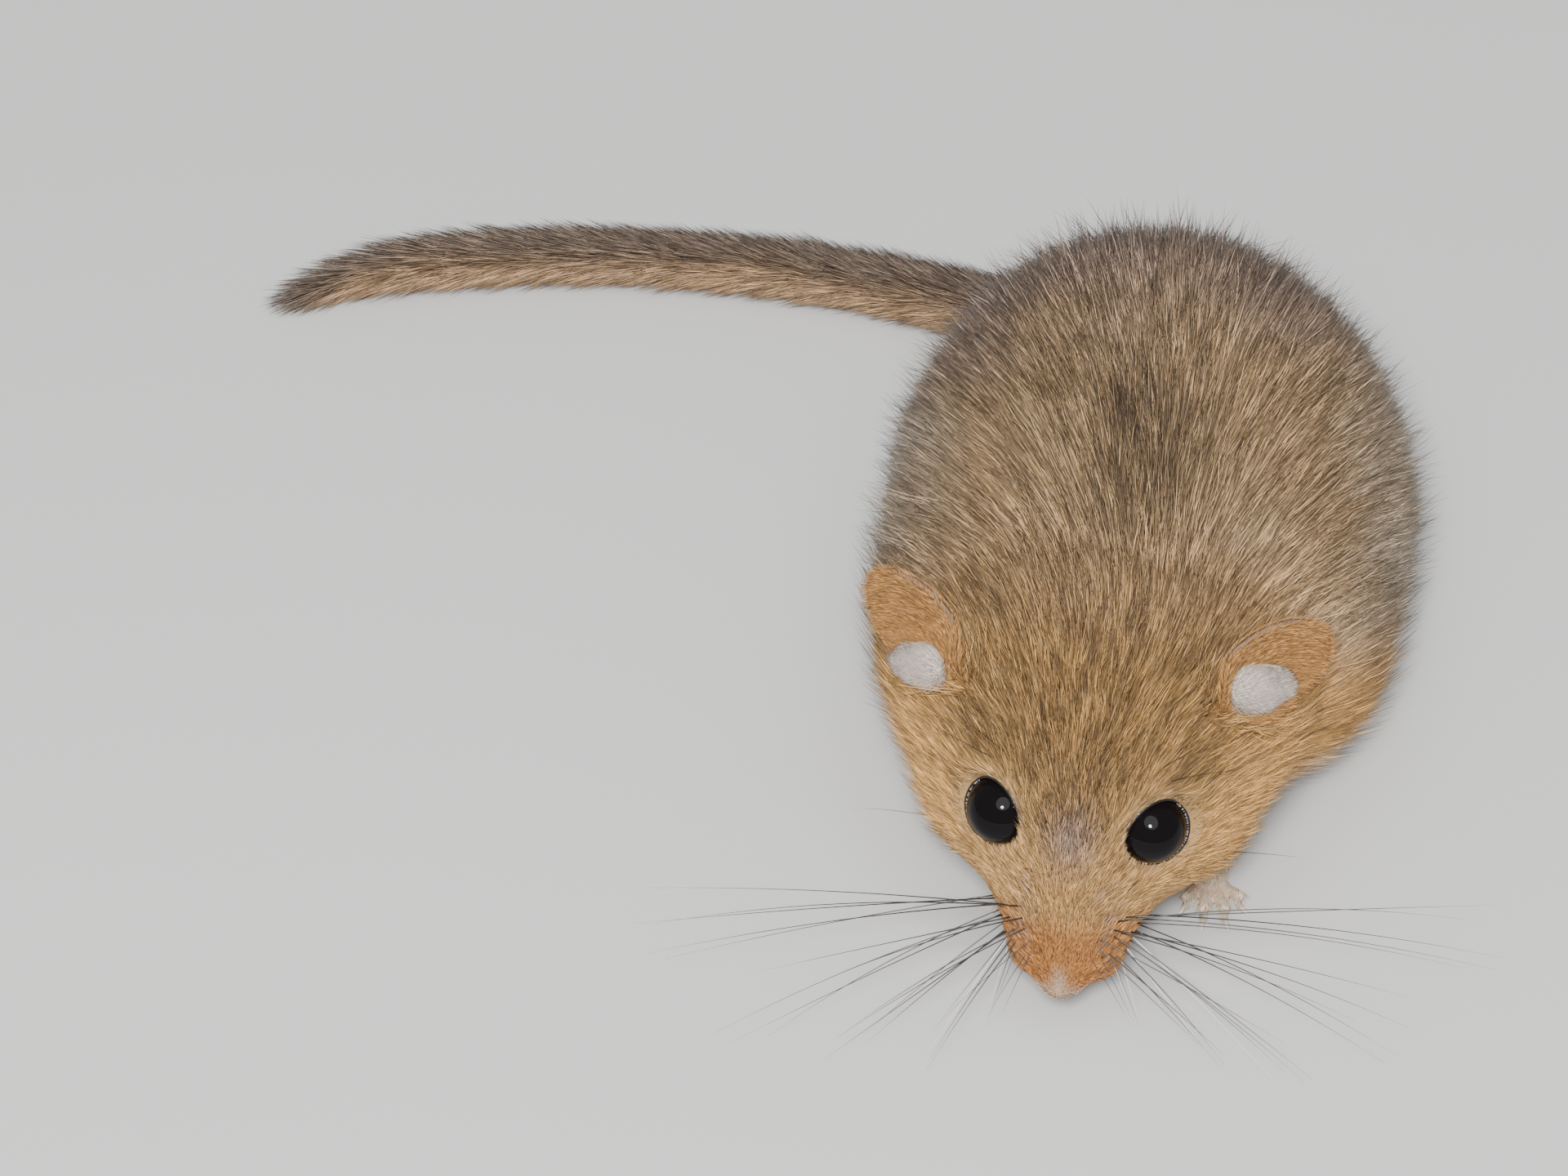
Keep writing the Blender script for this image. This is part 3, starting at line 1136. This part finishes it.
class DORMOUSE_OT_whiskers(bpy.types.Operator):
    """Sets the whiskers on the muzzle and the few long hairs by the eyes"""

    bl_idname = "dormouse.whiskers"
    bl_label = "Whiskers"

    def execute(self, context):
        settings = context.scene.dormouse_features
        draw = np.random.default_rng(SEED)
        longest = settings.whisker_length / MM
        tree = point_tree(points_of(bpy.data.objects["skin"].data))
        whiskers = []
        for side in (-1, 1):
            for row, column in ((row, column) for row in range(5) for column in range(5)):
                root = [a + b * row + c * column for a, b, c in zip(WHISKER_ROOT, WHISKER_ROW, WHISKER_COLUMN)]
                root = np.array(root) + draw.normal(0, 0.12, 3)
                slope = WHISKER_SLOPE[0] + WHISKER_SLOPE[1] * row + WHISKER_SLOPE[2] * column
                slope = math.radians(slope + draw.normal(0, 3.0))
                near = draw.uniform(0.0, 0.22)
                way = Vector((side * math.cos(slope), 0, 0)) + UPWARD * math.sin(slope) + TOWARDS * near
                length = longest * (WHISKER_SHARE[0] + WHISKER_SHARE[1] * column) * draw.uniform(0.78, 1.05)
                tone = float(row < 3 or column > 2 or draw.random() > 0.6)
                whiskers.append((on_side(root, side), way, length, tone))
            for root, length, way in LONE_WHISKERS:
                whiskers.append((on_side(root, side), HEAD_MATRIX.to_3x3() @ on_side(way, side), length, 1.0))
        whiskers = [(tree.find(HEAD_MATRIX @ root)[0], *rest) for root, *rest in whiskers]
        self.make_hairs(whiskers, settings)
        return {"FINISHED"}

    def make_hairs(self, whiskers, settings):
        """Long tapered hairs that droop a little towards their ends."""
        draw = np.random.default_rng(SEED + 1)
        bm = bmesh.new()
        bmesh.ops.create_cone(bm, cap_ends=True, segments=5, radius1=1, radius2=0.12, depth=1)
        long_edges = [edge for edge in bm.edges if abs(edge.verts[0].co.z - edge.verts[1].co.z) > 0.5]
        bmesh.ops.subdivide_edges(bm, edges=long_edges, cuts=WHISKER_STEPS - 1, use_grid_fill=True)
        pattern = as_mesh(bm, "whisker")
        bm = bmesh.new()
        shares, tones = [], []
        for root, way, length, tone in whiskers:
            ahead = way.normalized()
            level = ahead.cross(UPWARD).normalized()
            upward = level.cross(ahead)
            sag = UPWARD * -float(draw.uniform(0.0, 0.16)) + TOWARDS * float(draw.uniform(-0.06, 0.10))
            thick = (0.055 if length > 9 else 0.036) * (1.0 if tone else 0.7)
            known = len(bm.verts)
            bm.from_mesh(pattern)
            bm.verts.ensure_lookup_table()
            for vert in bm.verts[known:]:
                share = vert.co.z + 0.5
                middle = root - ahead * 0.5 + ahead * length * share + sag * length * share**2
                middle.z = max(middle.z, 0.35)
                vert.co = (middle + (level * vert.co.x + upward * vert.co.y) * thick) * MM
                shares.append(share)
                tones.append(tone)
        bmesh.ops.recalc_face_normals(bm, faces=bm.faces)
        mesh = as_mesh(bm, "whiskers")
        bpy.data.meshes.remove(pattern)
        dark = np.array(tones)
        black, pale = np.array(settings.whisker), np.array(settings.pale_whisker)
        colours = mixed(np.tile(pale, (len(dark), 1)), black, dark)
        put_colours(mesh, mixed(colours, pale * 0.45, dark * step(np.array(shares), 0.7, 1.0) * 0.6))
        made = material("whisker_hair", tuple(settings.whisker), 0.3, 0.5, tinted=True)
        finished(mesh, "whiskers", made, "crown")


class DORMOUSE_OT_stage(bpy.types.Operator):
    """Sets the floor, the lights and the camera"""

    bl_idname = "dormouse.stage"
    bl_label = "Stage"

    def execute(self, context):
        settings = context.scene.dormouse_stage
        bm = bmesh.new()
        bmesh.ops.create_grid(bm, x_segments=1, y_segments=1, size=3.0)
        floor = bpy.data.objects.new("floor", as_mesh(bm, "floor"))
        context.scene.collection.objects.link(floor)
        floor.data.materials.append(material("floor_paper", tuple(settings.floor), 0.9, 0.2))
        world = bpy.data.worlds.new("studio")
        world.use_nodes = True
        world.node_tree.nodes["Background"].inputs["Color"].default_value = (0.95, 0.97, 1.0, 1)
        world.node_tree.nodes["Background"].inputs["Strength"].default_value = settings.sky
        context.scene.world = world
        camera = bpy.data.objects.new("camera", bpy.data.cameras.new("camera"))
        context.scene.collection.objects.link(camera)
        camera.data.sensor_width = 36
        camera.data.lens = settings.lens
        camera.data.clip_start, camera.data.clip_end = 0.01, 10
        camera.location = Vector(CAMERA_PLACE) * MM + Vector(BODY_SHIFT) * MM
        camera.rotation_euler = (math.pi / 2 - settings.tilt, 0, 0)
        context.scene.camera = camera
        self.add_light("soft", (0.0, -0.32, 0.6), 0.5, settings.key)
        self.add_light("front", camera.location + Vector((-0.015, 0.0, 0.03)), 0.07, settings.flash)
        return {"FINISHED"}

    def add_light(self, name, place, size, power):
        """A round light that faces the middle of the animal."""
        light = bpy.data.lights.new(name, "AREA")
        light.shape = "DISK"
        light.size = size
        light.energy = power
        lamp = bpy.data.objects.new(name, light)
        bpy.context.scene.collection.objects.link(lamp)
        lamp.location = place
        lamp.rotation_euler = (Vector((0, 0, 0.01)) - Vector(place)).to_track_quat("-Z", "Y").to_euler()


STEPS = (
    DORMOUSE_OT_skin,
    DORMOUSE_OT_lobes,
    DORMOUSE_OT_paws,
    DORMOUSE_OT_coat,
    DORMOUSE_OT_eyes,
    DORMOUSE_OT_nose,
    DORMOUSE_OT_whiskers,
    DORMOUSE_OT_stage,
)


class DORMOUSE_PT_panel(bpy.types.Panel):
    """Lists the steps that dress the dormouse, with their sizes and colours"""

    bl_label = "Dormouse"
    bl_idname = "DORMOUSE_PT_panel"
    bl_space_type = "VIEW_3D"
    bl_region_type = "UI"
    bl_category = "Dormouse"

    def draw(self, context):
        for operator in STEPS:
            self.layout.operator(operator.bl_idname)
        for name in GROUPS:
            group = getattr(context.scene, name)
            column = self.layout.column()
            for setting in group.__annotations__:
                column.prop(group, setting)


GROUPS = {"dormouse_coat": DormouseCoat, "dormouse_features": DormouseFeatures, "dormouse_stage": DormouseStage}


def register():
    for known in (*GROUPS.values(), *STEPS, DORMOUSE_PT_panel):
        bpy.utils.register_class(known)
    for name, group in GROUPS.items():
        setattr(bpy.types.Scene, name, PointerProperty(type=group))


def unregister():
    for name in GROUPS:
        delattr(bpy.types.Scene, name)
    for known in (DORMOUSE_PT_panel, *STEPS, *GROUPS.values()):
        bpy.utils.unregister_class(known)


def main():
    register()
    bpy.ops.dormouse.skin()
    bpy.ops.dormouse.lobes()
    bpy.ops.dormouse.paws()
    bpy.ops.dormouse.coat()
    bpy.ops.dormouse.eyes()
    bpy.ops.dormouse.nose()
    bpy.ops.dormouse.whiskers()
    bpy.ops.dormouse.stage()


if __name__ == "__main__":
    main()
